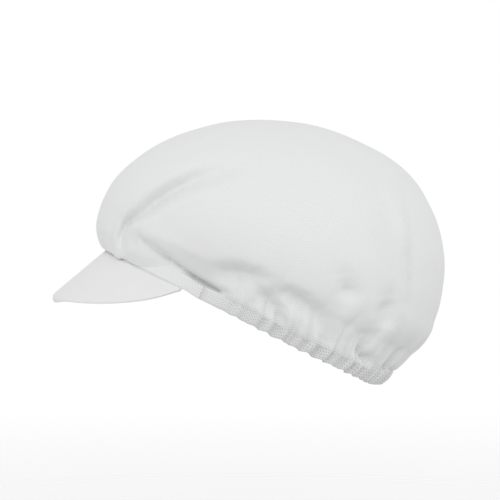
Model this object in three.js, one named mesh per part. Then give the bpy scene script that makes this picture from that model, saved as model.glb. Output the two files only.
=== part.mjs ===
// A light work cap of net with a stiff peak, in the form it has on a head: a puffed crown, a flat band over
// the forehead, a gathered elastic hem round the back, and a sloping peak sewn under the band.
// Millimetres and degrees. Each piece is modelled on the rim: the rim's plane is z = 0, the front is -Y and
// the wearer's left is +X. A turn is an angle round the rim, from 0 at the forehead to 90 at the left and 180
// at the nape. The last group tips the rim down towards the nape, as the cap is worn.
import * as THREE from "three";

const { clamp, degToRad, euclideanModulo, lerp, smoothstep } = THREE.MathUtils;

// Rim
const RIM_LENGTH = 221;
const RIM_WIDTH = 168;
const RIM_TILT = 25.4;
const EGG = 0.05; // share by which the forehead is narrower than the back of the head
const RIM_MM_PER_DEGREE = (Math.PI * (RIM_LENGTH + RIM_WIDTH)) / 2 / 360;
const SEAM_GAP = 0.35; // kept between pieces that are sewn together

// Cloth
const NET_WALL = 1.2;
const BAND_WALL = 2.2;
const HEM_WALL = 2.4;
const PEAK_WALL = 1.8;

// Front band and hem. The band is tall over the forehead and drops to the hem's height behind the temples.
const BAND_TALL = 18;
const HEM_TOP = 10.5;
const HEM_BOTTOM = -2;
const HEM_SAG = 2.4; // by which it hangs lower between the ear and the nape
const HEM_FLARE = 4; // by which the hem's top stands out from its lower edge
const HEM_FLARE_TURN = 28; // over which it opens behind the band's end
const BAND_END_TURN = 72;
const BAND_DROP_FROM = 54;
const BAND_DROP_TO = 78;
const BAND_COLUMNS = 36;

// Gathers of the elastic hem
const GATHER_START = 76;
const GATHER_END = 360 - GATHER_START;
const GATHERS = 36;
const COLUMNS_PER_GATHER = 3;
const FRONT_COLUMNS = 44;
const GATHER_DEPTH = 1.3;
const GATHER_REACH = 15; // height over which the tight gathers die out
const LOOSE_DEPTH = 2.4; // wider folds that pairs of gathers run into, further up
const LOOSE_HEIGHT = 19;
const LOOSE_REACH = 14;
const SCALLOP = 0.7;

// Peak
const PEAK_LENGTH = 52;
const PEAK_END_LENGTH = 5;
const PEAK_ROUNDING = 2.5; // lower is a rounder front edge
const PEAK_END_TURN = 64;
const PEAK_SLOPE = 65.4; // below the rim's plane
const PEAK_COLUMNS = 36;
const PEAK_ROWS = 5;

// The crown's rings above its lip: how far each reaches from the rim's middle to the front, back and sides.
const LEVELS = [
  { height: 25, front: 127.2, back: 120.6, side: 96.0 },
  { height: 31, front: 127.8, back: 122.8, side: 100.5 },
  { height: 38, front: 127.6, back: 125.0, side: 104.3 },
  { height: 46, front: 126.9, back: 125.6, side: 106.2 },
  { height: 55, front: 124.4, back: 124.6, side: 107.0 },
  { height: 66, front: 119.8, back: 123.2, side: 106.2 },
  { height: 78, front: 113.2, back: 120.0, side: 103.0 },
  { height: 92, front: 102.8, back: 115.0, side: 96.6 },
  { height: 106, front: 88.7, back: 106.9, side: 87.0 },
  { height: 119, front: 72.6, back: 96.4, side: 73.5 },
  { height: 130, front: 53.4, back: 83.7, side: 57.0 },
  { height: 138.5, front: 33.4, back: 71.0, side: 41.0 },
  { height: 144, front: 15.8, back: 57.2, side: 26.0 },
  { height: 147, front: -2.5, back: 41.5, side: 12.5 },
];
const APEX = { height: 147.8, back: 25 };

// The crown's lip, from its seam outwards, as distances out of the rim and above the seam: where the puff
// rolls down over the forehead band, and where it rises out of the gathers.
const LIP = [
  { rolled_out: -1.1, rolled_rise: 1.3, gathered_out: -1.1, gathered_rise: 1.1 },
  { rolled_out: 2.4, rolled_rise: 0.7, gathered_out: -0.4, gathered_rise: 3.0 },
  { rolled_out: 2.4, rolled_rise: -9.0, gathered_out: 0.3, gathered_rise: 5.2 },
  { rolled_out: 3.2, rolled_rise: -16.4, gathered_out: 1.1, gathered_rise: 7.2 },
  { rolled_out: 7.2, rolled_rise: -13.4, gathered_out: 1.9, gathered_rise: 9.4 },
  { rolled_out: 12.2, rolled_rise: -7.0, gathered_out: 3.2, gathered_rise: 12.0 },
];

// How far the lip rolls down over the band, by turn: 1 is the front lobe, 0 a plain rise.
const ROLL = [
  { turn: 0, roll: 1.0 },
  { turn: 22, roll: 1.0 },
  { turn: 32, roll: 0.6 },
  { turn: 39, roll: 0.08 },
  { turn: 48, roll: 0.05 },
  { turn: 58, roll: 0.22 },
  { turn: 70, roll: 0.36 },
  { turn: 78, roll: 0.4 },
  { turn: 85, roll: 0.1 },
  { turn: 93, roll: 0.0 },
  { turn: 180, roll: 0.0 },
];

// Folds and dents of the left side, each a chain of stations that falls off over a steep width on the left of
// its run and a soft width on the right. A depth below zero stands out. The right side has the same ones, a
// little further round and shallower.
const FOLDS = {
  front_pleat: [
    { turn: 62, height: 95, depth: 1, steep: 9, soft: 14 },
    { turn: 56, height: 88, depth: 4, steep: 8, soft: 16 },
    { turn: 48.7, height: 72, depth: 9, steep: 6, soft: 17 },
    { turn: 43.8, height: 53, depth: 13, steep: 6, soft: 15 },
    { turn: 40, height: 33.5, depth: 13, steep: 5, soft: 11 },
    { turn: 37, height: 19.7, depth: 9, steep: 4, soft: 7 },
    { turn: 35.5, height: 6, depth: 5, steep: 4, soft: 5 },
  ],
  puff_edge: [
    { turn: 63, height: 78, depth: -2, steep: 10, soft: 8 },
    { turn: 54, height: 58, depth: -4, steep: 10, soft: 7 },
    { turn: 48, height: 40, depth: -4, steep: 9, soft: 6 },
    { turn: 43, height: 22, depth: -2, steep: 7, soft: 5 },
  ],
  lobe_crease: [
    { turn: 25.6, height: 2.5, depth: 3, steep: 3, soft: 4 },
    { turn: 28.3, height: 16.5, depth: 1, steep: 3, soft: 4 },
  ],
  temple_dent: [
    { turn: 75, height: 24, depth: 2, steep: 4, soft: 8 },
    { turn: 79.4, height: 28.5, depth: 7, steep: 4, soft: 11 },
    { turn: 83.2, height: 33, depth: 8, steep: 4, soft: 11 },
    { turn: 87.7, height: 35.5, depth: 6, steep: 4, soft: 9 },
    { turn: 91, height: 36, depth: 2, steep: 4, soft: 6 },
  ],
  ear_fold: [
    { turn: 92, height: 24, depth: 3, steep: 4, soft: 7 },
    { turn: 95.4, height: 23, depth: 6, steep: 4, soft: 8 },
    { turn: 98.3, height: 19, depth: 6, steep: 4, soft: 8 },
    { turn: 101.7, height: 13, depth: 5, steep: 4, soft: 7 },
    { turn: 104.5, height: 7, depth: 3, steep: 4, soft: 5 },
  ],
  arch_fold: [
    { turn: 97, height: 33, depth: 3, steep: 4, soft: 6 },
    { turn: 102, height: 33.5, depth: 7, steep: 4, soft: 8 },
    { turn: 106.4, height: 31.5, depth: 8, steep: 4, soft: 9 },
    { turn: 110.8, height: 28, depth: 8, steep: 4, soft: 9 },
    { turn: 114.5, height: 22, depth: 7, steep: 4, soft: 8 },
    { turn: 117, height: 13, depth: 4, steep: 4, soft: 6 },
  ],
  high_crease: [
    { turn: 114.6, height: 52, depth: 1.5, steep: 5, soft: 6 },
    { turn: 117.8, height: 46, depth: 4, steep: 5, soft: 6 },
    { turn: 119, height: 36, depth: 2.5, steep: 5, soft: 5 },
    { turn: 120.3, height: 23.4, depth: 4, steep: 4, soft: 5 },
    { turn: 122.6, height: 12, depth: 4, steep: 4, soft: 4 },
  ],
  side_dimple: [
    { turn: 129.5, height: 31, depth: 3, steep: 7, soft: 7 },
    { turn: 132, height: 24, depth: 5, steep: 7, soft: 7 },
  ],
  loop_front: [
    { turn: 127, height: 19, depth: 2, steep: 3, soft: 3 },
    { turn: 127.2, height: 9, depth: 3, steep: 3, soft: 3 },
  ],
  loop_back: [
    { turn: 130, height: 19.5, depth: 3, steep: 3, soft: 4 },
    { turn: 133, height: 16, depth: 4, steep: 3, soft: 4 },
    { turn: 136, height: 10, depth: 3, steep: 3, soft: 3 },
  ],
  nape_pocket: [
    { turn: 142, height: 19, depth: 4, steep: 4, soft: 5 },
    { turn: 139.3, height: 8, depth: 6, steep: 4, soft: 4 },
  ],
  back_fold: [
    { turn: 133, height: 54, depth: 2, steep: 8, soft: 8 },
    { turn: 134.3, height: 42, depth: 4, steep: 7, soft: 8 },
    { turn: 138, height: 29, depth: 3, steep: 6, soft: 7 },
  ],
  nape_fold: [
    { turn: 150, height: 34, depth: 3, steep: 6, soft: 7 },
    { turn: 156, height: 14, depth: 5, steep: 5, soft: 5 },
  ],
  long_crease: [
    { turn: 116, height: 103, depth: 1, steep: 10, soft: 10 },
    { turn: 125, height: 86, depth: 3.5, steep: 10, soft: 10 },
    { turn: 140, height: 60, depth: 2, steep: 9, soft: 9 },
  ],
};
const RIGHT_SIDE = { further: 4, depth: 0.85 };
const MM_PER_DEGREE = 1.75; // round the crown's belly, for the distance to a fold
const CORE_HEIGHT = 60; // folds press level below this and towards this height above it

// Colours, as seen in even white light
const NET_WHITE = new THREE.MeshStandardMaterial({ color: 0xe9eaea, roughness: 0.9, metalness: 0 });
const BAND_WHITE = new THREE.MeshStandardMaterial({ color: 0xe7e8e8, roughness: 0.9, metalness: 0 });
const PEAK_WHITE = new THREE.MeshStandardMaterial({ color: 0xebebec, roughness: 0.75, metalness: 0 });

// Turn on the left or right, from -180 to 180.
const signedTurn = (turn) => euclideanModulo(turn + 180, 360) - 180;

// The value of a table's column at x, on a smooth curve through its rows.
function fromTable(rows, key, column, x) {
  const last = rows.length - 1;
  const at = clamp(rows.findLastIndex((row) => row[key] <= x), 0, last - 1);
  const [before, low, high, after] = [-1, 0, 1, 2].map((i) => rows[clamp(at + i, 0, last)]);
  const span = high[key] - low[key];
  const slopeLow = ((high[column] - before[column]) / (high[key] - before[key])) * span;
  const slopeHigh = ((after[column] - low[column]) / (after[key] - low[key])) * span;
  const u = (x - low[key]) / span;
  const blend = u * u * (3 - 2 * u);
  return lerp(low[column], high[column], blend) + u * (1 - u) * ((1 - u) * slopeLow - u * slopeHigh);
}

// A point on a level egg-shaped outline.
function onOutline(turn, front, back, side, height) {
  const angle = degToRad(turn);
  const forward = (front - back) / 2 + ((front + back) / 2) * Math.cos(angle);
  return new THREE.Vector3(side * Math.sin(angle) * (1 - EGG * Math.cos(angle)), -forward, height);
}

// A point out of the rim's outer face by a distance.
const offRim = (turn, out, height) =>
  onOutline(turn, RIM_LENGTH / 2 + out, RIM_LENGTH / 2 + out, RIM_WIDTH / 2 + out, height);

// Top of the band, and of the hem behind it, where the crown is sewn on.
function seamHeight(turn) {
  const dropped = smoothstep(Math.abs(signedTurn(turn)), BAND_DROP_FROM, BAND_DROP_TO);
  return lerp(BAND_TALL, HEM_TOP, dropped) - hemSag(turn);
}

// How far the hem's top leans out, and how far the hem hangs below the band.
const behindBand = (turn) => Math.max(Math.abs(signedTurn(turn)) - BAND_END_TURN, 0);
const hemFlare = (turn) => HEM_FLARE * smoothstep(behindBand(turn), 0, HEM_FLARE_TURN);
const hemSag = (turn) => HEM_SAG * Math.sin((Math.PI * behindBand(turn)) / (180 - BAND_END_TURN)) ** 2;

// Depth of the folds at a place on the crown.
function foldDepth(turn, height) {
  const signed = signedTurn(turn);
  const onRight = signed < 0;
  const place = new THREE.Vector2(Math.abs(signed) - (onRight ? RIGHT_SIDE.further : 0), height);
  let total = 0;
  for (const stations of Object.values(FOLDS)) {
    let deepest = 0;
    for (let i = 0; i + 1 < stations.length; i++) {
      const [a, b] = [stations[i], stations[i + 1]];
      const from = new THREE.Vector2((place.x - a.turn) * MM_PER_DEGREE, place.y - a.height);
      const along = new THREE.Vector2((b.turn - a.turn) * MM_PER_DEGREE, b.height - a.height);
      const share = clamp(from.dot(along) / along.lengthSq(), 0, 1);
      const width = along.cross(from) > 0 ? lerp(a.steep, b.steep, share) : lerp(a.soft, b.soft, share);
      const away = from.addScaledVector(along, -share).length() / width;
      const here = lerp(a.depth, b.depth, share) * Math.exp(-away * away);
      if (Math.abs(here) > Math.abs(deepest)) deepest = here;
    }
    total += deepest;
  }
  return total * (onRight ? RIGHT_SIDE.depth : 1);
}

// Columns of the gathered arc, a few to each gather.
function gatheredColumns() {
  const count = GATHERS * COLUMNS_PER_GATHER;
  return Array.from({ length: count + 1 }, (_, i) => gatherColumn(i / COLUMNS_PER_GATHER));
}

// Columns right round the cap: the gathered arc, then the smooth front.
function roundColumns() {
  const smooth = Array.from({ length: FRONT_COLUMNS }, (_, i) => ({
    turn: lerp(GATHER_END, GATHER_START + 360, i / FRONT_COLUMNS),
    tight: 0,
    loose: 0,
  }));
  return [...gatheredColumns().slice(0, -1), ...smooth];
}

// One column of the gathers. A whole phase is a ridge and a half phase a valley, unevenly spaced and tall.
function gatherColumn(phase) {
  const fade = smoothstep(phase, 0, 2.5) * smoothstep(GATHERS - phase, 0, 2.5);
  const uneven = 1.2 * Math.sin(2.6 * phase) * fade;
  return {
    turn: lerp(GATHER_START, GATHER_END, phase / GATHERS) + uneven,
    tight: fade * Math.cos(2 * Math.PI * phase) * (0.8 + 0.3 * Math.sin(1.9 * phase)),
    loose: fade * Math.cos((2 * Math.PI * phase) / 2.4 + 1.3 * Math.sin(0.7 * phase)),
  };
}

// How far the gathers push the cloth out at a height above the seam.
function gatherOut(column, rise) {
  const above = Math.max(rise, 0) / GATHER_REACH;
  const tight = GATHER_DEPTH * (1 + 2 * above) * Math.exp(-1.6 * above);
  const loose = LOOSE_DEPTH * Math.exp(-(((rise - LOOSE_HEIGHT) / LOOSE_REACH) ** 2));
  return tight * column.tight + loose * column.loose;
}

// A crown point moved by its gathers and folds. The folds fade where the lip runs in over the band.
function draped(point, column, rise, freedom = 1) {
  const core = new THREE.Vector3(0, 0, Math.min(point.z, CORE_HEIGHT));
  const outward = point.clone().sub(core).normalize();
  return point.addScaledVector(outward, gatherOut(column, rise) - freedom * foldDepth(column.turn, point.z));
}

// The crown's rings, each with a point for each column, from the seam to just under the apex.
function crownRings(columns) {
  const lip = LIP.map((row) =>
    columns.map((column) => {
      const roll = fromTable(ROLL, "turn", "roll", Math.abs(signedTurn(column.turn)));
      const seam = seamHeight(column.turn);
      const room = (LEVELS[0].height - seam) / (LEVELS[0].height - HEM_TOP);
      const gathered = lerp(LIP[0].gathered_rise, row.gathered_rise, room);
      const rise = lerp(gathered, row.rolled_rise, roll);
      const out = hemFlare(column.turn) + lerp(row.gathered_out, row.rolled_out, roll);
      const point = offRim(column.turn, out, seam + rise);
      return row === LIP[0]
        ? point.add(offRim(column.turn, gatherOut(column, 0), 0).sub(offRim(column.turn, 0, 0)))
        : draped(point, column, rise, smoothstep(out, 3, 12));
    }),
  );
  const levels = LEVELS.map((row) =>
    columns.map((column) => {
      const [front, back, side] = [row.front, row.back, row.side].map((reach) => reach - NET_WALL / 2);
      const point = onOutline(column.turn, front, back, side, row.height);
      return draped(point, column, row.height - seamHeight(column.turn));
    }),
  );
  return [...lip, ...levels];
}

// Unit normals of rings of points, facing out of the cap.
function ringNormals(rings) {
  return rings.map((ring, r) =>
    ring.map((_, c) => {
      const round = ring[(c + 1) % ring.length].clone().sub(ring.at(c - 1));
      const up = rings[Math.min(r + 1, rings.length - 1)][c].clone().sub(rings[Math.max(r - 1, 0)][c]);
      return round.cross(up).normalize();
    }),
  );
}

// A mesh under construction: points and triangles.
class Facets {
  points = [];
  triangles = [];

  add(points) {
    return points.map((p) => this.points.push(p) - 1);
  }

  // Fills between two closed rings, the upper one with as many points or half as many.
  betweenRings(lower, upper, turned = false) {
    const halved = lower.length === 2 * upper.length;
    upper.forEach((b, j) => {
      const bNext = upper[(j + 1) % upper.length];
      const a = (i) => lower[i % lower.length];
      const faces = halved
        ? [[a(2 * j), a(2 * j + 1), b], [a(2 * j + 1), bNext, b], [a(2 * j + 1), a(2 * j + 2), bNext]]
        : [[a(j), a(j + 1), bNext], [a(j), bNext, b]];
      faces.forEach((face) => this.triangles.push(turned ? face.toReversed() : face));
    });
  }

  fan(ring, tip, turned = false) {
    ring.forEach((a, j) => {
      const face = [a, ring[(j + 1) % ring.length], tip];
      this.triangles.push(turned ? face.toReversed() : face);
    });
  }

  // Fills an open end whose first half of points lies opposite its second half.
  ladder(loop, turned = false) {
    for (let i = 0; i + 1 < loop.length / 2; i++) {
      const [a, b, c, d] = [loop[i], loop[i + 1], loop.at(-2 - i), loop.at(-1 - i)];
      [[a, b, c], [a, c, d]].forEach((face) => this.triangles.push(turned ? face.toReversed() : face));
    }
  }

  geometry() {
    const made = new THREE.BufferGeometry().setFromPoints(this.points);
    made.setIndex(this.triangles.flat());
    made.computeVertexNormals();
    return made;
  }
}

// The net crown: a wall about the rings, with fewer columns towards the apex.
function crownGeometry() {
  const rings = crownRings(roundColumns());
  const normals = ringNormals(rings);
  const apex = new THREE.Vector3(0, APEX.back, APEX.height);
  const columnStep = (r) => (r < LIP.length + 4 ? 1 : r < LIP.length + 9 ? 2 : 4);
  const facets = new Facets();
  const face = (offset) => {
    const made = rings.map((ring, r) =>
      facets.add(
        ring
          .map((point, c) => point.clone().addScaledVector(normals[r][c], offset))
          .filter((_, c) => c % columnStep(r) === 0),
      ),
    );
    const [tip] = facets.add([apex.clone().setZ(apex.z + offset)]);
    const inside = offset < 0;
    for (let r = 0; r + 1 < made.length; r++) facets.betweenRings(made[r], made[r + 1], inside);
    facets.fan(made.at(-1), tip, inside);
    return made[0];
  };
  const outerEdge = face(NET_WALL / 2);
  const innerEdge = face(-NET_WALL / 2);
  facets.betweenRings(innerEdge, outerEdge);
  return facets.geometry();
}

// A solid through like sections, each a loop whose first half is the outer face and second half the inner
// face, listed the other way.
function sweptGeometry(sections) {
  const facets = new Facets();
  const loops = sections.map((section) => facets.add(section));
  for (let i = 0; i + 1 < loops.length; i++) facets.betweenRings(loops[i], loops[i + 1], true);
  facets.ladder(loops[0]);
  facets.ladder(loops.at(-1), true);
  return facets.geometry();
}

// The doubled net band over the forehead.
function frontBandGeometry() {
  const sections = Array.from({ length: BAND_COLUMNS + 1 }, (_, i) => {
    const turn = lerp(-BAND_END_TURN, BAND_END_TURN, i / BAND_COLUMNS);
    const top = seamHeight(turn);
    const bottom = lerp(0, HEM_BOTTOM, smoothstep(Math.abs(turn), PEAK_END_TURN, BAND_END_TURN));
    const middle = (top + bottom) / 2;
    return [
      offRim(turn, -0.3, bottom),
      offRim(turn, 0.2, middle),
      offRim(turn, -0.3, top),
      offRim(turn, -BAND_WALL + 0.3, top),
      offRim(turn, -BAND_WALL, middle),
      offRim(turn, -BAND_WALL + 0.3, bottom),
    ];
  });
  return sweptGeometry(sections);
}

// The hem round the back, a casing drawn into gathers by its elastic.
function elasticHemGeometry() {
  const middle = -BAND_WALL / 2;
  const start = BAND_END_TURN + SEAM_GAP / RIM_MM_PER_DEGREE;
  const ends = [start, 360 - start].map((turn) => ({ turn, tight: 0, loose: 0 }));
  const sections = [ends[0], ...gatheredColumns(), ends[1]].map((column) => {
    const wave = gatherOut(column, 0);
    const flare = hemFlare(column.turn);
    const lower = HEM_BOTTOM - hemSag(column.turn) + SCALLOP * column.tight;
    const belly = (HEM_TOP + HEM_BOTTOM) / 2 - hemSag(column.turn);
    const top = seamHeight(column.turn);
    const outer = middle + HEM_WALL / 2 + wave;
    const inner = middle - HEM_WALL / 2 + wave;
    return [
      offRim(column.turn, outer - 0.5, lower),
      offRim(column.turn, outer + 0.2 * wave + 0.45 * flare, belly),
      offRim(column.turn, outer + flare, top),
      offRim(column.turn, inner + flare, top),
      offRim(column.turn, inner + 0.2 * wave + 0.45 * flare, belly),
      offRim(column.turn, inner + 0.5, lower),
    ];
  });
  return sweptGeometry(sections);
}

// The peak: a plate that leans out and down from under the band, longest in the middle.
function peakGeometry() {
  const slope = degToRad(PEAK_SLOPE);
  const rootOut = -BAND_WALL / 2;
  const rootHeight = -SEAM_GAP - (PEAK_WALL / 2) * Math.cos(slope);
  const sections = Array.from({ length: PEAK_COLUMNS + 1 }, (_, i) => {
    const across = lerp(-1, 1, i / PEAK_COLUMNS);
    const turn = across * PEAK_END_TURN;
    const reach = lerp(PEAK_END_LENGTH, PEAK_LENGTH, 1 - Math.abs(across) ** PEAK_ROUNDING);
    const at = (share, side) => {
      const down = reach * share;
      const out = rootOut + down * Math.cos(slope) + side * Math.sin(slope);
      return offRim(turn, out, rootHeight - down * Math.sin(slope) + side * Math.cos(slope));
    };
    const shares = Array.from({ length: PEAK_ROWS + 1 }, (_, r) => r / PEAK_ROWS);
    const outerFace = shares.toReversed().map((share) => at(share, PEAK_WALL / 2));
    const innerFace = shares.map((share) => at(share, -PEAK_WALL / 2));
    return [...outerFace, ...innerFace];
  });
  return sweptGeometry(sections);
}

function piece(name, geometry, material) {
  const mesh = new THREE.Mesh(geometry, material);
  mesh.name = name;
  return mesh;
}

// The cap on its rim, then tipped as it is worn.
const onRim = new THREE.Group();
onRim.rotation.x = -degToRad(RIM_TILT);
onRim.add(
  piece("crown", crownGeometry(), NET_WHITE),
  piece("front_band", frontBandGeometry(), BAND_WHITE),
  piece("elastic_hem", elasticHemGeometry(), NET_WHITE),
  piece("peak", peakGeometry(), PEAK_WHITE),
);

const cap = new THREE.Group();
cap.add(onRim);

export default cap;
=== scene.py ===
import math

import bpy
import numpy as np
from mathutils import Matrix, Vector


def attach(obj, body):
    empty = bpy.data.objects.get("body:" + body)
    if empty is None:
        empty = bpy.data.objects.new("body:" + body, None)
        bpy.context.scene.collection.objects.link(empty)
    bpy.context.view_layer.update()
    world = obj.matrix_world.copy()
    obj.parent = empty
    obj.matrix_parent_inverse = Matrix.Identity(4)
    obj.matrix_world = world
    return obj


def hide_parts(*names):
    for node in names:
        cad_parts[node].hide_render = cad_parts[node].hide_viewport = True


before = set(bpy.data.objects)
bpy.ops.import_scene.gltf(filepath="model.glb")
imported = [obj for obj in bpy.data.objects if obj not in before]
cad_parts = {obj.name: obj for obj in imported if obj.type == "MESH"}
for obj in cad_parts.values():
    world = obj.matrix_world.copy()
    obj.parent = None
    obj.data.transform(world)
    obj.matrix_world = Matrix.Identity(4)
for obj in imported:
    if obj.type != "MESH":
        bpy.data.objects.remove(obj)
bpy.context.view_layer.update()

# Crown: a disc of white knitted net, cut flat and gathered all round. At the front it is pleated and sewn
# to the band, so that it puffs forward in a lobe over the peak; from the temples back the elastic draws it
# in. Sizes are in millimetres on the rim's plane. A turn is 0 at the forehead, 90 at the left, 180 behind.
RIM_LENGTH = 221
RIM_WIDTH = 168
RIM_TILT = math.radians(25.4)
RIM_EGG = 0.05  # share by which the rim is narrower at the front
BAND_TALL = 17
BAND_END_TURN = 72
BAND_DROP_TURNS = (42, 72)  # over which the seam comes down from the band's top to the hem's
HEM_TOP = 8.2
HEM_SAG = 2.4  # halfway from the band's end to the nape
HEM_FLARE = 4  # by which the hem's top stands out from its lower edge
HEM_FLARE_TURN = 28  # over which it opens behind the band's end
NAPE_DROP = 3  # by which the hem hangs lower at the nape
NAPE_DROP_TURNS = (125, 165)
NAPE_PULL = 3.2  # by which it is drawn in there
NAPE_PULL_TURNS = (135, 180)
NAPE_RISE = 4.5  # by which it is taller there
NAPE_RISE_TURNS = (138, 168)


def eased(x, start, end):
    """From 0 at the start to 1 at the end, level at both; either may be the larger."""
    share = np.clip((x - start) / (end - start), 0, 1)
    return share * share * (3 - 2 * share)


def arched(share):
    """From 0 at both ends up to 1 in the middle."""
    return 4 * share * (1 - share)


def off_front(turn):
    """The turn away from the forehead, the same on both sides."""
    return np.abs((turn + 180) % 360 - 180)


def on_outline(turn, front, back, side, height):
    """Points of an egg-shaped outline of those reaches, at a height above the rim."""
    angle = np.radians(turn)
    forward = (front - back) / 2 + (front + back) / 2 * np.cos(angle)
    across = side * np.sin(angle) * (1 - RIM_EGG * np.cos(angle))
    return np.stack(np.broadcast_arrays(across, -forward, height), axis=-1)


def off_rim(turn, out, height):
    """Points that stand out from the rim."""
    reach = RIM_LENGTH / 2 + out
    return on_outline(turn, reach, reach, RIM_WIDTH / 2 + out, height)


def hem_sag(turn):
    behind = np.maximum(off_front(turn) - BAND_END_TURN, 0)
    sag = HEM_SAG * np.sin(np.pi * behind / (180 - BAND_END_TURN)) ** 2
    return sag + NAPE_DROP * eased(off_front(turn), *NAPE_DROP_TURNS)


def hem_flare(turn):
    return HEM_FLARE * eased(off_front(turn) - BAND_END_TURN, 0, HEM_FLARE_TURN)


def nape_pull(turn):
    return NAPE_PULL * eased(off_front(turn), *NAPE_PULL_TURNS)


def seam_height(turn):
    """Height of the seam along the top of the band and the hem."""
    drop = (BAND_TALL - HEM_TOP) * eased(off_front(turn), *BAND_DROP_TURNS)
    rise = NAPE_RISE * eased(off_front(turn), *NAPE_RISE_TURNS)
    return BAND_TALL - drop + rise - hem_sag(turn)


# Gathers, counted from the left temple round the nape to the right, and the wider folds that they run into.
GATHER_START = 76
GATHERS = 36
GATHER_FADE = 2.5  # gathers over which they die away at either end
GATHER_DEPTH = 1.7
GATHER_MAIN = 0.75  # share of that depth in one wave to a gather
GATHER_SPLIT = 0.4  # share in two waves to a gather
GATHER_REACH = 6  # above the seam
GATHER_SWELL = 1.1  # by which they keep their depth above the seam before they die away
LOOSE_DEPTH = 0.8
LOOSE_SPAN = 2.4  # gathers to each wider fold
LOOSE_HEIGHT = 19
LOOSE_REACH = 14
COLUMNS_PER_GATHER = 10
FRONT_COLUMNS = 304
# What makes them uneven, as swings along the gathers: size, rate and shift of each swing.
REACH_SWINGS = ((2.5, 2.3, 0), (1.5, 5.1, 1))
DEPTH_SWINGS = ((0.35, 1.9, 0),)
SPLIT_SWINGS = ((1, 2.1, 0),)
SPLIT_SHIFTS = ((2, 1.3, 0),)
LOOSE_SHIFTS = ((1.3, 0.7, 0),)
PLACE_SWINGS = ((0.5, 2.6, 0),)


def swung(phase, swings):
    return sum(size * np.sin(rate * phase + shift) for size, rate, shift in swings)


def gather_fade(phase):
    return eased(phase, 0, GATHER_FADE) * eased(GATHERS - phase, 0, GATHER_FADE)


def gather_wave(phase, rise):
    """How far the gathers push the net out, at a rise above the seam."""
    above = np.maximum(rise, 0)
    reach = GATHER_REACH + swung(phase, REACH_SWINGS)
    tight = (GATHER_MAIN + swung(phase, DEPTH_SWINGS)) * np.cos(2 * np.pi * phase)
    split = np.cos(4 * np.pi * phase + swung(phase, SPLIT_SHIFTS)) * swung(phase, SPLIT_SWINGS) ** 2
    tight = GATHER_DEPTH * (tight + GATHER_SPLIT * split)
    tight = tight * (1 + GATHER_SWELL * above / reach) * np.exp(-above / reach)
    loose = np.cos(2 * np.pi * phase / LOOSE_SPAN + swung(phase, LOOSE_SHIFTS))
    loose = LOOSE_DEPTH * loose * np.exp(-(((rise - LOOSE_HEIGHT) / LOOSE_REACH) ** 2))
    return gather_fade(phase) * (tight + loose)


gather_phase = np.arange(GATHERS * COLUMNS_PER_GATHER) / COLUMNS_PER_GATHER
gather_turn = GATHER_START + (360 - 2 * GATHER_START) * gather_phase / GATHERS
gather_turn += swung(gather_phase, PLACE_SWINGS) * gather_fade(gather_phase)
front_turn = 360 - GATHER_START + 2 * GATHER_START * np.arange(FRONT_COLUMNS) / FRONT_COLUMNS
turn = np.concatenate([gather_turn, front_turn])
phase = np.concatenate([gather_phase, np.zeros(FRONT_COLUMNS)])
from_front = off_front(turn)

# Rings of the puffed part: height, and reach to the front, back and sides.
CROWN_RINGS = np.array([
    (25, 127.2, 118.2, 97.8),
    (31, 127.8, 121.4, 101.4),
    (38, 127.6, 124.2, 104.3),
    (46, 126.9, 125.6, 106.2),
    (55, 124.4, 124.6, 107.0),
    (66, 119.8, 123.2, 106.2),
    (78, 113.2, 120.0, 103.0),
    (92, 102.8, 115.0, 96.6),
    (106, 88.7, 106.9, 87.0),
    (119, 72.6, 96.4, 73.5),
    (130, 53.4, 83.7, 57.0),
    (138.5, 33.4, 71.0, 41.0),
    (144, 15.8, 57.2, 26.0),
    (147, -2.5, 41.5, 12.5),
    (147.8, -25.0, 25.0, 0.0),
])
# Lip, from its sewn edge outwards. Where it rolls down in front of the band: out and rise off the band's
# top, and how freely it folds. Where it is gathered: share of the way up to the first ring. Where it laps
# down the band's face: share of the way up the band, then of the way on to the first ring.
CROWN_LIP = np.array([
    (0.15, -16.4, 0.0, 0.0, 0.0, 0.0),
    (2.0, -17.2, 0.1, 0.1, 0.5, 0.0),
    (4.2, -16.6, 0.35, 0.26, 1.0, 0.0),
    (7.0, -14.2, 0.7, 0.44, 1.0, 0.15),
    (10.2, -10.6, 1.0, 0.64, 1.0, 0.42),
    (13.4, -5.5, 1.0, 0.84, 1.0, 0.72),
])
# By turn, how far the lip rolls down in front of the band, laps down its face, and is tucked in behind it.
LIP_WAYS = np.array([
    (0, 1.0, 16, 0),
    (24, 1.0, 16, 0),
    (32, 1.0, 16, 0),
    (36, 0.5, 16, 0),
    (39, 0.05, 16, 0),
    (44, 0.0, 15, 0),
    (50, 0.0, 9, 0),
    (56, 0.0, 2, 0),
    (60, 0.0, 0, 0.4),
    (65, 0.0, 0, 1),
    (76, 0.0, 0, 1),
    (82, 0.0, 0, 0),
    (88, 0.0, 0, 0),
    (140, 0.0, 0, 0),
    (155, 0.0, 0, 0.8),
    (168, 0.0, 0, 1),
    (180, 0.0, 0, 1),
])
EDGE_LAP = 0.8  # of the crown's edge down over the top of the hem
TUCK_IN = 1.4
TUCK_LIFT = 0.55
LAP_WHOLE = 4  # from which the lip lies wholly on the band's face
LAP_MOST = 16
LAP_SWELL = 2.0  # by which it stands off the face halfway down
PUFF = 0.72  # how much sooner than evenly the lip goes out above its seam
PUFF_START_TURNS = (36, 44)
PUFF_LESS = 0.5
PUFF_LESS_TURNS = (49, 55)
PUFF_END_TURNS = (84, 76)
NAPE_PUFF = 0.5
LOBE_FILL = 0.7  # power of the share of the way up, by which the corner behind the lobe is filled
LOBE_FILL_TURNS = (54, 44)
FREE_SHARE = 0.3  # of the way up, from where the lip folds freely
TUCKED_FREE_SHARE = 0.08
FINE_ROWS = 64
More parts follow.
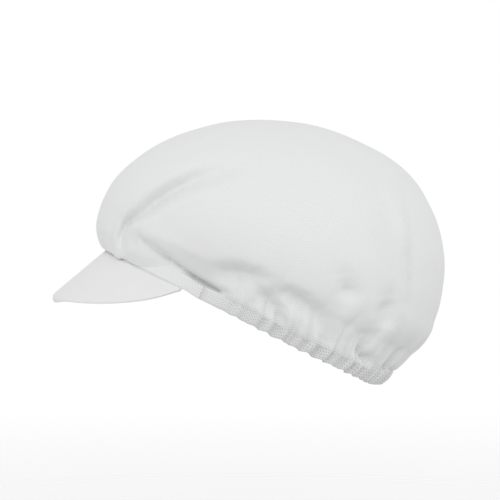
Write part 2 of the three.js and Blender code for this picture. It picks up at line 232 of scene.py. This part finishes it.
FINE_SHARE = 0.32  # of the way to the top that has fine rows
WIDE_ROWS = 76


def through_rows(rows, at, wanted):
    """Smooth curves through rows of points, each column with its own places along it, at wanted places."""
    step = np.diff(at, axis=0)[..., None]
    rate = np.diff(rows, axis=0) / step
    slope = np.concatenate([rate[:1], rate])
    slope[1:-1] = (rate[:-1] * step[1:] + rate[1:] * step[:-1]) / (step[:-1] + step[1:])
    i = np.clip((at[:, None] <= wanted).sum(0) - 1, 0, len(step) - 1)
    column = np.arange(at.shape[1])
    h = step[i, column]
    u = (wanted - at[i, column])[..., None] / h
    blend = u * u * (3 - 2 * u)
    bulge = u * (1 - u) * ((1 - u) * slope[i, column] - u * slope[i + 1, column]) * h
    return rows[i, column] * (1 - blend) + rows[i + 1, column] * blend + bulge


seam = seam_height(turn)
lip_ways = through_rows(LIP_WAYS[:, None, 1:], LIP_WAYS[:, :1], from_front[:, None])
roll, lap, tuck = lip_ways[:, 0].T.clip(0)
edge_out = CROWN_LIP[0, 0] + hem_flare(turn) - nape_pull(turn) - TUCK_IN * tuck
edge_height = seam - EDGE_LAP - lap + TUCK_LIFT * tuck
sewn_edge = off_rim(turn, edge_out, edge_height)
lap_top = np.minimum(seam, edge_height + lap)
puff = eased(from_front, *PUFF_START_TURNS) * eased(from_front, *PUFF_END_TURNS) * (1 - tuck)
puff *= 1 - PUFF_LESS * eased(from_front, *PUFF_LESS_TURNS)
puff += NAPE_PUFF * eased(from_front, *NAPE_RISE_TURNS)
first_height = CROWN_RINGS[0, 0]
first_ring = on_outline(turn, *CROWN_RINGS[0, 1:], first_height)
lapped = lap / (first_height - edge_height)
control, freedom = [], []
for rolled_out, rolled_rise, rolled_free, plain, on_band, above in CROWN_LIP:
    rolled = off_rim(turn, hem_flare(turn) + rolled_out, seam + rolled_rise)
    share = plain + (on_band * lapped + above * (1 - lapped) - plain) * eased(lap, 0, LAP_WHOLE)
    height = edge_height + share * (first_height - edge_height)
    way_out = np.clip((height - lap_top) / (first_height - lap_top), 0, 1) ** (1 - PUFF * puff)
    way_out = np.maximum(way_out, share**LOBE_FILL * eased(from_front, *LOBE_FILL_TURNS))
    gathered = sewn_edge + (first_ring - sewn_edge) * np.stack([way_out, way_out, share], axis=-1)
    up_band = np.clip((height - edge_height) / np.maximum(lap, 1), 0, 1)
    swell = LAP_SWELL * eased(lap, 0, LAP_MOST) * arched(up_band)
    gathered += off_rim(turn, swell, 0) - off_rim(turn, 0, 0)
    control.append(gathered + (rolled - gathered) * roll[:, None])
    free = eased(share, 0, FREE_SHARE + (TUCKED_FREE_SHARE - FREE_SHARE) * tuck)
    freedom.append(free + (rolled_free - free) * roll)
for height, front, back, side in CROWN_RINGS:
    control.append(on_outline(turn, front, back, side, height))
    freedom.append(np.ones_like(turn))
control = np.concatenate([np.array(control), np.array(freedom)[..., None]], axis=2)
run = np.linalg.norm(np.diff(control[..., :3], axis=0), axis=2).cumsum(0)
run = np.concatenate([np.zeros((1, len(turn))), run])
row_share = np.concatenate([
    np.linspace(0, FINE_SHARE, FINE_ROWS, endpoint=False),
    np.linspace(FINE_SHARE, 1, WIDE_ROWS),
])
shaped = through_rows(control, run, row_share[:, None] * run[-1])
points, free = shaped[..., :3], shaped[..., 3]

length = np.linalg.norm(np.diff(points, axis=0), axis=2)
from_top = np.concatenate([np.cumsum(length[::-1], axis=0)[::-1], np.zeros((1, len(turn)))])
crown_flat = np.stack([from_top * np.sin(np.radians(turn)), -from_top * np.cos(np.radians(turn))], axis=-1)

# Pleats and folds of the left side, station by station: turn, height, depth, steep width on the left of
# the run, soft width. A pleat is pushed straight across towards the other side, a fold inwards.
CROWN_PLEATS = {
    "front pleat": [
        (63, 97, 0.3, 9, 12), (59.8, 88, 3.5, 8, 11), (57, 79, 9, 7, 10.5), (53.2, 69.5, 15, 6, 10),
        (50.6, 60.5, 19, 5.5, 9.5), (48, 50, 20, 5, 9), (45.6, 40, 19, 4.5, 8.5), (42.8, 33, 15, 4, 7.5),
        (40.6, 29, 13, 3, 6.5), (38.8, 25.5, 12, 2.6, 5.5), (37.2, 21.5, 11, 2.4, 4.5),
        (36.2, 18, 9.5, 2.4, 4), (35.1, 13.2, 7, 2.4, 4), (34.4, 9, 4, 2.5, 4), (33.4, 4.5, 1.5, 2.5, 4),
    ],
    "long crease": [
        (111, 132, 0.5, 8, 12), (115, 113, 2, 8, 13), (120.5, 103, 4, 8, 14), (125.5, 92, 5.5, 8, 14),
        (131, 82, 6.5, 8, 14), (134.5, 70, 6.5, 8, 14), (137.5, 57.5, 5, 7, 12), (138.5, 47, 2.5, 6, 10),
    ],
}
CROWN_FOLDS = {
    "puff edge": [(59, 77, -1, 10, 7), (50, 58, -2.5, 9, 5), (45, 40, -2.5, 8, 5), (42, 31, 0, 7, 4)],
    "puff foot": [(41, 23, 0, 9, 8), (47, 22, -3, 10, 8), (56, 20, -3, 9, 8), (66, 18, -1, 8, 7)],
    "band tuck": [
        (44, 18, 0.5, 3, 2), (48, 17.4, 3.5, 2.6, 2), (52, 16.4, 7, 2.4, 2), (56, 15, 9, 2.4, 2),
        (61, 12.8, 9, 2.3, 2), (66, 11, 8.5, 2, 2.3), (71, 9.7, 9, 2.2, 2.5), (76, 9, 8, 2.2, 2.5),
        (81, 8.8, 3, 3, 2.5),
    ],
    "lobe crease": [(25.6, 2.5, 3, 3, 4), (28.3, 16.5, 1, 3, 4)],
    "temple dent": [
        (76, 19.5, 2, 4, 8), (79, 23.5, 6.5, 4.5, 10), (83, 27.5, 8.5, 4.5, 11), (87, 29.5, 7.5, 4.5, 10),
        (90.5, 30.5, 3.5, 4, 7), (93, 30.5, 0.5, 4, 6),
    ],
    "ear fold": [
        (92.5, 15.5, 3, 3.5, 7), (95.5, 19.5, 8, 4, 8), (98.5, 17, 9, 4, 8), (101, 11.5, 7, 3.5, 7),
        (103, 6, 4, 3, 5),
    ],
    "arch fold": [
        (97.5, 28.5, 1.5, 3, 5), (101, 29.5, 6, 4, 8), (105, 29, 8, 4, 9), (109, 27.5, 7, 3.5, 8),
        (112.5, 25, 6, 4, 6.5), (115, 21.5, 5, 5, 6), (117.5, 16, 4, 5, 6), (119.5, 10.5, 2.5, 5, 5.5),
    ],
    "high crease": [(113.5, 55, 2, 6, 7), (117, 47, 6, 6, 7), (118, 38, 2, 6, 6), (119, 30, 0.5, 5, 5)],
    "side dimple": [
        (130.5, 27, 1.5, 6, 9), (133, 22.5, 4, 6, 9), (135.5, 18, 4.5, 6, 8), (137, 14, 2.5, 5, 6),
    ],
    "loop pocket": [(128.5, 15, 1.5, 3, 5), (129, 8, 1.5, 3, 5)],
    "nape pocket": [(137, 12, 6, 4, 4.5), (142, 9, 9, 4, 4.5)],
    "back fold": [(132.5, 54, 3, 7, 8), (134.5, 47, 7, 7, 8), (136.5, 41, 5, 7, 8), (138, 33, 2, 6, 7)],
    "nape fold": [(157, 30, 2, 6, 7), (159, 22, 7, 5, 6), (159, 12, 13, 5, 5), (160, 5, 13, 5, 5)],
}
# Runs where the net's holes are painted darker: turn, height, how far, width on either side.
DARK_HOLE_RUNS = {
    "back run": [
        (129.7, 136, 0.1, 3, 4), (129.7, 115, 0.25, 4, 5), (133.7, 90, 0.55, 4, 5), (139, 66, 0.6, 4, 5),
        (141.5, 45, 0.6, 4, 5), (145, 26, 0.6, 5, 5), (146.5, 12, 0.5, 5, 5),
    ],
}
MM_PER_DEGREE = 1.75  # along the crown's widest part
RIGHT_FURTHER = 4  # turn by which the right side's folds lie further round than the left's
RIGHT_DEPTH = 0.85
CORE_HEIGHT = 60  # folds go level towards the middle up to here, and towards this place from above
CASING_LOW = -2  # height above the seam where the net is fully darkened, like the hem's double net in painted shade
CASING_HIGH = 8  # and where it is plain single net again
CASING_SWINGS = ((3, 2.9, 0),)
CASING_TURNS = (74, 82)
# Painted shade in the crown's folds: the net darkens with a fold's depth, between these depths.
FOLD_SHADE = 0.6
FOLD_SHADE_DEPTHS = (2, 10)


def fold_depth(folds, turn, height):
    """Depth of the folds at each place, on the left side and, a little further round, on the right."""
    signed = (turn + 180) % 360 - 180
    place = np.abs(signed) - np.where(signed < 0, RIGHT_FURTHER, 0)
    total = np.zeros(np.broadcast(turn, height).shape)
    for stations in folds.values():
        deepest = np.zeros_like(total)
        for (turn_a, high_a, *a), (turn_b, high_b, *b) in zip(stations, stations[1:]):
            fx, fy = (place - turn_a) * MM_PER_DEGREE, height - high_a
            ax, ay = (turn_b - turn_a) * MM_PER_DEGREE, high_b - high_a
            share = np.clip((fx * ax + fy * ay) / (ax * ax + ay * ay), 0, 1)
            depth, steep, soft = (p + (q - p) * share for p, q in zip(a, b))
            away = np.hypot(fx - ax * share, fy - ay * share) + 1e-6
            left = 0.5 + 0.5 * (ax * fy - ay * fx) / math.hypot(ax, ay) / away
            here = depth * np.exp(-((away / (soft + (steep - soft) * left)) ** 2))
            deepest = np.where(np.abs(here) > np.abs(deepest), here, deepest)
        total += deepest
    return total * np.where(signed < 0, RIGHT_DEPTH, 1)


core = points * (0, 0, 1)
core[..., 2] = np.minimum(core[..., 2], CORE_HEIGHT)
outward = points - core
outward /= np.linalg.norm(outward, axis=2, keepdims=True)
above_seam = points[..., 2] - seam
folded = free * fold_depth(CROWN_FOLDS, turn, points[..., 2])
push = gather_wave(phase, above_seam) - folded
across = -np.sign(points[..., 0]) * free * fold_depth(CROWN_PLEATS, turn, points[..., 2])
points = points + outward * push[..., None] + across[..., None] * (1, 0, 0)
# Where the crown's net is darkened: next to the seam like the hem's double net in painted shade, as painted
# shade in its folds, and along the darker runs of holes.
casing_and_shade = eased(above_seam, CASING_HIGH + swung(phase, CASING_SWINGS), CASING_LOW)
casing_and_shade *= eased(from_front, *CASING_TURNS)
crown_doubled_and_shade = np.maximum(casing_and_shade, FOLD_SHADE * eased(folded, *FOLD_SHADE_DEPTHS))
crown_doubled_and_shade += fold_depth(DARK_HOLE_RUNS, turn, points[..., 2])

# Colours of the net's holes and threads, where it lies single and where it is darkened for lying double and
# as painted shade; the holes are painted darker than the threads as painted shade of the dim inside seen
# through them. In shares of its pitch: how far the holes differ, how much wider they are where darkened, how
# soft their rims are, and the threads' foot and top.
HOLE_SINGLE = (0.83, 0.835, 0.835, 1)
HOLE_DOUBLE_SHADED = (0.58, 0.585, 0.585, 1)
THREAD_SINGLE = (0.88, 0.885, 0.885, 1)
THREAD_SHADED = (0.82, 0.825, 0.825, 1)
HOLE_UNEVEN = 0.12
HOLE_WIDER = 0.08
HOLE_SOFT = 0.09
THREAD_FOOT = 0.1
THREAD_TOP = 0.56
THREAD_RELIEF = 0.2
THREAD_THICK = 0.0004  # in metres
UNEVEN_SCALE = 0.035
UNEVEN_DETAIL = 2.0
NET_ROUGHNESS = 0.85
CLOTH_SHEEN = 0.1


def as_worn(points):
    """From the rim's plane, in millimetres, to the cap as worn, in metres."""
    x, y, z = np.moveaxis(points, -1, 0) / 1000
    tilt_cos, tilt_sin = math.cos(RIM_TILT), math.sin(RIM_TILT)
    return np.stack([x, y * tilt_cos + z * tilt_sin, z * tilt_cos - y * tilt_sin], axis=-1)


def cloth_object(name, points, faces, flat, doubled_and_shade, material):
    """A smooth mesh with flat ends, as worn, that knows its place on the flat cloth and how far its net is
    darkened, for lying double and as painted shade.
    """
    mesh = bpy.data.meshes.new(name)
    mesh.from_pydata(as_worn(points).tolist(), [], faces)
    mesh.polygons.foreach_set("use_smooth", [len(face) <= 4 for face in faces])
    corner = np.zeros(len(mesh.loops), np.int32)
    mesh.loops.foreach_get("vertex_index", corner)
    mesh.uv_layers.new(name="flat_cloth").data.foreach_set("uv", np.asarray(flat)[corner].ravel())
    mesh.attributes.new("doubled_and_shade", "FLOAT", "POINT").data.foreach_set("value", np.ravel(doubled_and_shade))
    mesh.materials.append(material)
    made = bpy.data.objects.new(name, mesh)
    bpy.context.scene.collection.objects.link(made)
    return made


def shader_node(tree, kind, *inputs, **settings):
    """A node with its inputs in the order of its sockets; None leaves a socket as it is."""
    made = tree.nodes.new(kind)
    for name, value in settings.items():
        setattr(made, name, value)
    for socket, value in zip(made.inputs, inputs):
        if isinstance(value, bpy.types.NodeSocket):
            tree.links.new(value, socket)
        elif value is not None:
            socket.default_value = value
    return made


def mixed(tree, share, first, second):
    made = shader_node(tree, "ShaderNodeMix", share, *[None] * 5, first, second, data_type="RGBA")
    return made.outputs[2]


def net_cloth(name, pitch, hole):
    """Knitted net with staggered round holes, a pitch apart, painted darker and wider where it lies double
    and where shade is painted.
    """
    material = bpy.data.materials.new(name)
    material.use_nodes = True
    tree = material.node_tree
    shader = tree.nodes["Principled BSDF"]
    shader.inputs["Roughness"].default_value = NET_ROUGHNESS
    shader.inputs["Sheen Weight"].default_value = CLOTH_SHEEN

    def vector(operation, *inputs):
        return shader_node(tree, "ShaderNodeVectorMath", *inputs, operation=operation)

    def number(operation, *inputs):
        return shader_node(tree, "ShaderNodeMath", *inputs, operation=operation).outputs[0]

    cloth = shader_node(tree, "ShaderNodeUVMap", uv_map="flat_cloth").outputs[0]
    # share by which the net is darkened, for lying double and as painted shade
    behind = shader_node(tree, "ShaderNodeAttribute", attribute_name="doubled_and_shade").outputs["Fac"]
    cells = vector("MULTIPLY", cloth, (1 / pitch, 1 / (pitch * math.sqrt(3)), 0)).outputs[0]
    from_hole = []
    for shift in (0, 0.5):
        moved = vector("ADD", cells, (shift, shift, 0)).outputs[0]
        part = vector("FRACTION", moved).outputs[0]
        middle = vector("SUBTRACT", part, (0.5, 0.5, 0)).outputs[0]
        square = vector("MULTIPLY", middle, (1, math.sqrt(3), 0)).outputs[0]
        from_hole.append(vector("LENGTH", square).outputs["Value"])
    nearest = number("MINIMUM", *from_hole)
    uneven = shader_node(tree, "ShaderNodeTexNoise", cloth, None, UNEVEN_SCALE, UNEVEN_DETAIL).outputs[0]
    size = number("MULTIPLY_ADD", uneven, 2 * HOLE_UNEVEN, -HOLE_UNEVEN)
    wider = number("MULTIPLY_ADD", behind, -HOLE_WIDER, size)
    rim = number("ADD", nearest, wider)
    thread = shader_node(tree, "ShaderNodeMapRange", rim, hole - HOLE_SOFT, hole + HOLE_SOFT).outputs[0]
    relief = shader_node(tree, "ShaderNodeMapRange", rim, hole - THREAD_FOOT, THREAD_TOP).outputs[0]
    bump = shader_node(tree, "ShaderNodeBump", THREAD_RELIEF, THREAD_THICK, None, relief).outputs[0]
    # painted shade: holes and threads darken with the share of double net and painted shade
    in_hole = mixed(tree, behind, HOLE_SINGLE, HOLE_DOUBLE_SHADED)
    in_thread = mixed(tree, behind, THREAD_SINGLE, THREAD_SHADED)
    tree.links.new(mixed(tree, thread, in_hole, in_thread), shader.inputs["Base Color"])
    tree.links.new(bump, shader.inputs["Normal"])
    return material


columns, rows = len(turn), len(row_share)
faces = []
for r in range(rows - 2):
    for c in range(columns):
        a, b = r * columns + c, r * columns + (c + 1) % columns
        faces.append((a, b, b + columns, a + columns))
tip = (rows - 1) * columns
for c in range(columns):
    faces.append(((rows - 2) * columns + c, (rows - 2) * columns + (c + 1) % columns, tip))

crown = cloth_object(
    "net_crown",
    points.reshape(-1, 3)[: tip + 1],
    faces,
    crown_flat.reshape(-1, 2)[: tip + 1],
    crown_doubled_and_shade.ravel()[: tip + 1],
    net_cloth("crown_net", pitch=2.2, hole=0.16),
)
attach(crown, "root")
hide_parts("crown")

# Hem: the net's edge folded into a casing round an elastic, from temple round the nape to temple. The
# elastic draws it into small uneven gathers with a scalloped lower edge, and its ends run in under the band.
HEM_BOTTOM = -1.3
HEM_WALL = 2.4
HEM_BELLY = 0.5  # by which its gathers are deeper halfway up
HEM_FLARE_CURVE = 1.3
HEM_UNDER_BAND = 0.3  # turn by which its ends run in under the band's
HEM_END_WALL = 0.85
HEM_END_WALL_TURN = 6
# The hem's net is darkened for lying double and as painted shade; less so at its ends by the band, rising to
# full over these turns.
HEM_END_DOUBLED_AND_SHADE = 0.6
HEM_END_DOUBLED_AND_SHADE_TURN = 12
HEM_TOP_PALER = 0.4
HEM_TOP_PALER_SHARES = (0.7, 1)
BAND_WALL = 2.2
SCALLOP = 0.4  # rise of the lower edge to each millimetre that a gather stands out
NET_DRAWN_IN = 1.5  # length of net to each length of hem
NET_ROUND_EDGE = 2  # height of net to each half-thickness
NET_ON_GATHER = 0.8
SLANT_COS, SLANT_SIN = 0.87, 0.5  # of the net's slant on the hem
# Section of the casing: share of the way up, and half-thicknesses off its middle, outer face first.
HEM_SECTION = (
    (0, 0), (0.02, 0.6), (0.1, 0.95), (0.25, 1.08), (0.45, 1.15), (0.65, 1.1), (0.82, 1.03), (0.93, 1.0),
    (0.985, 0.9), (1, 0.6), (1, 0), (1, -0.6), (0.97, -0.95), (0.8, -1), (0.5, -1), (0.2, -1),
    (0.05, -0.9), (0, -0.5),
)


def run_along(turn):
    """Length along the rim from the first turn to each."""
    steps = np.diff(off_rim(turn, 0, 0), axis=0)
    return np.concatenate([[0], np.cumsum(np.linalg.norm(steps, axis=1))])


def swept_cloth(name, rows, flat, doubled_and_shade, material):
    """Cloth whose rows run side by side round a closed section, with both ends filled."""
    around, sections = len(rows), len(rows[0])
    faces = []
    for s in range(sections - 1):
        for k in range(around):
            a, b = s * around + k, s * around + (k + 1) % around
            faces.append((a, a + around, b + around, b))
    faces.append(tuple(range(around)))
    faces.append(tuple(range(sections * around - 1, (sections - 1) * around - 1, -1)))
    points = np.moveaxis(np.array(rows), 0, 1).reshape(-1, 3)
    flat_points = np.moveaxis(np.array(flat), 0, 1).reshape(-1, 2)
    return cloth_object(name, points, faces, flat_points, np.array(doubled_and_shade).T, material)


hem_end = BAND_END_TURN - HEM_UNDER_BAND
hem_turn = np.concatenate([[hem_end], gather_turn, [360 - GATHER_START, 360 - hem_end]])
hem_phase = np.concatenate([[0], gather_phase, [GATHERS, GATHERS]])
past_band = off_front(hem_turn) - BAND_END_TURN
wave = gather_wave(hem_phase, np.zeros_like(hem_phase))
hem_top = seam_height(hem_turn)
hem_low = HEM_BOTTOM - hem_sag(hem_turn) + SCALLOP * wave
hem_half = HEM_WALL / 2 * (HEM_END_WALL + (1 - HEM_END_WALL) * eased(past_band, 0, HEM_END_WALL_TURN))
# darkening of the hem's net, for lying double and as painted shade, less at its ends
hem_layers_and_shade = HEM_END_DOUBLED_AND_SHADE + (1 - HEM_END_DOUBLED_AND_SHADE) * eased(past_band, 0, HEM_END_DOUBLED_AND_SHADE_TURN)
hem_rows, hem_flat, hem_doubled_and_shade = [], [], []
for up, thick in HEM_SECTION:
    height = hem_low + (hem_top - hem_low) * up
    bulge = wave * (1 + HEM_BELLY * math.sin(math.pi * up))
    flare = hem_flare(hem_turn) * up**HEM_FLARE_CURVE
    out = -BAND_WALL / 2 + hem_half * thick + bulge + flare - nape_pull(hem_turn)
    hem_rows.append(off_rim(hem_turn, out, height))
    along = run_along(hem_turn) * NET_DRAWN_IN
    upward = height + NET_ROUND_EDGE * thick + NET_ON_GATHER * wave
    slanted = (SLANT_COS * along - SLANT_SIN * upward, SLANT_SIN * along + SLANT_COS * upward)
    hem_flat.append(np.stack(slanted, axis=-1))
    hem_doubled_and_shade.append(hem_layers_and_shade * (1 - HEM_TOP_PALER * eased(up, *HEM_TOP_PALER_SHARES)))
hem_net = net_cloth("hem_net", pitch=2.2, hole=0.17)
hem = swept_cloth("gathered_hem", hem_rows, hem_flat, hem_doubled_and_shade, hem_net)
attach(hem, "root")
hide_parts("elastic_hem")

# Front band: a straight strip of net folded double and stitched flat across the forehead, tall at the
# middle and tapering behind the temples to the hem. The crown is sewn to its top edge, and the peak to its
# lower edge.
PEAK_END_TURN = 64
BAND_BULGE = 0.6
BAND_BULGE_TURNS = (54, 60)
BAND_FLAT_TURNS = (BAND_END_TURN, 62)
# Painted shade: the band's net darkens towards its ends, where the puff overhangs it.
BAND_END_SHADE = 0.6
BAND_SHADE_TURNS = (60, BAND_END_TURN)
BAND_COLUMNS = 181
# Section of the strip: share of the way up, and half-thicknesses off its middle, outer face first.
BAND_SECTION = (
    (0, 0), (0, 0.7), (0.03, 0.95), (0.12, 1.0), (0.3, 1.05), (0.5, 1.1), (0.7, 1.1), (0.85, 1.05),
    (0.94, 0.85), (0.98, 0.5), (1, 0), (0.97, -0.6), (0.9, -0.95), (0.7, -1), (0.5, -1), (0.3, -1),
    (0.1, -1), (0.02, -0.7),
)
band_turn = np.linspace(-BAND_END_TURN, BAND_END_TURN, BAND_COLUMNS)
from_middle = np.abs(band_turn)
band_top = seam_height(band_turn)
band_low = HEM_BOTTOM * eased(from_middle, PEAK_END_TURN, BAND_END_TURN)
band_bulge = BAND_BULGE * eased(from_middle, *BAND_BULGE_TURNS) * eased(from_middle, *BAND_FLAT_TURNS)
# painted shade towards the band's ends
band_end_shade = BAND_END_SHADE * eased(from_middle, *BAND_SHADE_TURNS)
band_rows, band_flat, band_painted_shade = [], [], []
for up, thick in BAND_SECTION:
    height = band_low + (band_top - band_low) * up
    out = BAND_WALL / 2 * (thick - 1) + (thick > 0) * band_bulge * arched(up)
    band_rows.append(off_rim(band_turn, out, height))
    band_flat.append(np.stack([run_along(band_turn), height + NET_ROUND_EDGE * thick], axis=-1))
    band_painted_shade.append(band_end_shade)
band_net = net_cloth("band_net", pitch=2.1, hole=0.16)
band = swept_cloth("forehead_band", band_rows, band_flat, band_painted_shade, band_net)
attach(band, "root")
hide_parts("front_band")

# Peak: a stiff sheet covered on both sides in close plain weave and sewn under the band, leaning out and
# down. It is longest in the middle, where its front edge is turned down, and runs out to nothing at the
# temples.
PEAK_LENGTH = 52
PEAK_END_LENGTH = 5
PEAK_ROUNDING = 2.5
PEAK_END_CUT = 0.7
PEAK_END_CURVE = 24
PEAK_WALL = 1.8
PEAK_SLOPE = math.radians(65.4)
PEAK_ROOT = -0.45
PEAK_TURN_LENGTH = 6.5  # of the sheet that goes into the turn
PEAK_TURN_DOWN = math.radians(110)
PEAK_TURN_HALF = 0.42  # share of the half-width over which it is turned down
PEAK_TURN_MORE = 3  # length added to the middle for the turn
PEAK_CLOTH_PER_DEGREE = 1.7
PEAK_COLUMNS = 161
# Shares of the way down the sheet, closer together at its edge.
PEAK_STEPS = np.concatenate([np.linspace(0, 0.84, 15), np.linspace(0.86, 0.98, 9), [0.987, 0.994, 1]])
PEAK_EDGE = 0.96  # share of the way down from where the edge is rounded
PEAK_EDGE_LEAST = 0.02
WEAVE_WHITE = (0.88, 0.88, 0.885, 1)
WEAVE_ROUGHNESS = 0.7
WEAVE_SCALE = 900
WEAVE_RELIEF = 0.25
WEAVE_THICK = 0.0003  # in metres
peak_across = np.linspace(-1, 1, PEAK_COLUMNS)
peak_turn = peak_across * PEAK_END_TURN
peak_middle = eased(np.abs(peak_across), PEAK_TURN_HALF, 0)
peak_reach = PEAK_LENGTH + (PEAK_END_LENGTH - PEAK_LENGTH) * np.abs(peak_across) ** PEAK_ROUNDING
peak_reach *= 1 - PEAK_END_CUT * np.abs(peak_across) ** PEAK_END_CURVE
peak_reach += PEAK_TURN_MORE * peak_middle
past_edge = ((PEAK_STEPS - PEAK_EDGE) / (1 - PEAK_EDGE)).clip(0)
edge_round = np.sqrt(np.clip(1 - past_edge**2, PEAK_EDGE_LEAST, 1))
slope_cos, slope_sin = math.cos(PEAK_SLOPE), math.sin(PEAK_SLOPE)
peak_rows, peak_flat, peak_doubled = [], [], []
for side, steps, rounding in ((1, PEAK_STEPS[::-1], edge_round[::-1]), (-1, PEAK_STEPS, edge_round)):
    for share, slim in zip(steps, rounding):
        half = side * slim * PEAK_WALL / 2
        in_turn = np.maximum(peak_reach * (share - 1) + PEAK_TURN_LENGTH, 0)
        bent = PEAK_TURN_DOWN * peak_middle * in_turn / PEAK_TURN_LENGTH
        down = peak_reach * share - in_turn * (1 - np.sinc(bent / np.pi))
        droop = in_turn * np.sin(bent / 2) * np.sinc(bent / 2 / np.pi)
        out = down * slope_cos - droop * slope_sin + half * np.sin(PEAK_SLOPE + bent)
        height = half * np.cos(PEAK_SLOPE + bent) - down * slope_sin - droop * slope_cos
        peak_rows.append(off_rim(peak_turn, out - BAND_WALL / 2, height + PEAK_ROOT))
        peak_flat.append(np.stack([peak_turn * PEAK_CLOTH_PER_DEGREE, peak_reach * share], axis=-1))
        peak_doubled.append(np.ones(PEAK_COLUMNS))

weave = bpy.data.materials.new("peak_weave")
weave.use_nodes = True
weave_tree = weave.node_tree
weave_shader = weave_tree.nodes["Principled BSDF"]
weave_shader.inputs["Base Color"].default_value = WEAVE_WHITE
weave_shader.inputs["Roughness"].default_value = WEAVE_ROUGHNESS
weave_shader.inputs["Sheen Weight"].default_value = CLOTH_SHEEN
weave_place = shader_node(weave_tree, "ShaderNodeTexCoord").outputs["Object"]
weave_grain = shader_node(weave_tree, "ShaderNodeTexNoise", weave_place, None, WEAVE_SCALE).outputs[0]
weave_bump = shader_node(weave_tree, "ShaderNodeBump", WEAVE_RELIEF, WEAVE_THICK, None, weave_grain)
weave_tree.links.new(weave_bump.outputs[0], weave_shader.inputs["Normal"])

peak = swept_cloth("stiff_peak", peak_rows, peak_flat, peak_doubled, weave)
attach(peak, "root")
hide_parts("peak")

# Floor: a wide pale disc that lies well below the cap. It thins out from the middle to its rim, so that no
# edge of it shows and the white of the room comes through. Its sizes, and those that follow, are in metres.
FLOOR_HEIGHT = -0.16
FLOOR_RADIUS = 1.3
FLOOR_SIDES = 96
FLOOR_WHITE = (0.93, 0.93, 0.93, 1)
FLOOR_DENSE = 0.3
FLOOR_DENSE_RADIUS = 0.2
floor_ring = []
for k in range(FLOOR_SIDES):
    angle = 2 * math.pi * k / FLOOR_SIDES
    floor_ring.append((FLOOR_RADIUS * math.cos(angle), FLOOR_RADIUS * math.sin(angle), FLOOR_HEIGHT))
floor_mesh = bpy.data.meshes.new("pale_floor")
floor_mesh.from_pydata(floor_ring, [], [tuple(range(FLOOR_SIDES))])
floor = bpy.data.objects.new("pale_floor", floor_mesh)
bpy.context.scene.collection.objects.link(floor)
floor_paint = bpy.data.materials.new("floor_white")
floor_paint.use_nodes = True
floor_tree = floor_paint.node_tree
floor_shader = floor_tree.nodes["Principled BSDF"]
floor_shader.inputs["Base Color"].default_value = FLOOR_WHITE
floor_shader.inputs["Roughness"].default_value = 1
floor_place = shader_node(floor_tree, "ShaderNodeTexCoord").outputs["Object"]
floor_way = shader_node(floor_tree, "ShaderNodeVectorMath", floor_place, operation="LENGTH")
floor_away = floor_way.outputs["Value"]
floor_fade = shader_node(
    floor_tree, "ShaderNodeMapRange", floor_away, FLOOR_RADIUS, FLOOR_DENSE_RADIUS, None, FLOOR_DENSE,
    interpolation_type="SMOOTHSTEP",
)
floor_tree.links.new(floor_fade.outputs[0], floor_shader.inputs["Alpha"])
floor_mesh.materials.append(floor_paint)

# Studio: a white room, dim below, brightest at the cap's level and a little less so above. The camera sees
# it as plain white. One large soft box hangs high up on the camera's side.
ROOM_BELOW, ROOM_LEVEL, ROOM_ABOVE = 0.33, 0.91, 0.72
ROOM_UP = (0.0, 0.05, 1.0)
ROOM_SEEN = (1, 1, 1, 1)
BOX_PLACE = (2.0, 0.1, 0.9)
BOX_AIM = (0, 0, 0.05)
BOX_SIZE = 1.3
BOX_POWER = 6
room_white = bpy.data.worlds.new("white_room")
room_white.use_nodes = True
room_tree = room_white.node_tree
room_way = shader_node(room_tree, "ShaderNodeTexCoord").outputs["Generated"]
room_side = shader_node(room_tree, "ShaderNodeVectorMath", room_way, ROOM_UP, operation="DOT_PRODUCT")
room_height = shader_node(room_tree, "ShaderNodeMapRange", room_side.outputs["Value"], -1)
room_shade = shader_node(room_tree, "ShaderNodeValToRGB", room_height.outputs[0])
room_shade.color_ramp.elements.new(0.5)
for stop, level in zip(room_shade.color_ramp.elements, (ROOM_BELOW, ROOM_LEVEL, ROOM_ABOVE)):
    stop.color = (level, level, level, 1)
room_seen = shader_node(room_tree, "ShaderNodeLightPath").outputs["Is Camera Ray"]
room_colour = mixed(room_tree, room_seen, room_shade.outputs[0], ROOM_SEEN)
room_tree.links.new(room_colour, room_tree.nodes["Background"].inputs["Color"])
bpy.context.scene.world = room_white
box_light = bpy.data.lights.new("soft_box", "AREA")
box_light.size = BOX_SIZE
box_light.energy = BOX_POWER
soft_box = bpy.data.objects.new("soft_box", box_light)
soft_box.location = BOX_PLACE
soft_box.rotation_euler = (Vector(BOX_AIM) - soft_box.location).to_track_quat("-Z", "Y").to_euler()
bpy.context.scene.collection.objects.link(soft_box)
bpy.context.scene.view_settings.view_transform = "Standard"

# Camera: level with the cap and square to the wearer's left side. It stands far enough off that the cap
# looks nearly flat on.
CAMERA_PLACE = (1.5, 0.0036, 0.0468)
CAMERA_LENS = 150
CAMERA_SENSOR = 36
lens = bpy.data.cameras.new("side_camera")
lens.lens = CAMERA_LENS
lens.sensor_width = CAMERA_SENSOR
camera = bpy.data.objects.new("side_camera", lens)
camera.location = CAMERA_PLACE
camera.rotation_euler = (math.pi / 2, 0, math.pi / 2)
bpy.context.scene.collection.objects.link(camera)
bpy.context.scene.camera = camera
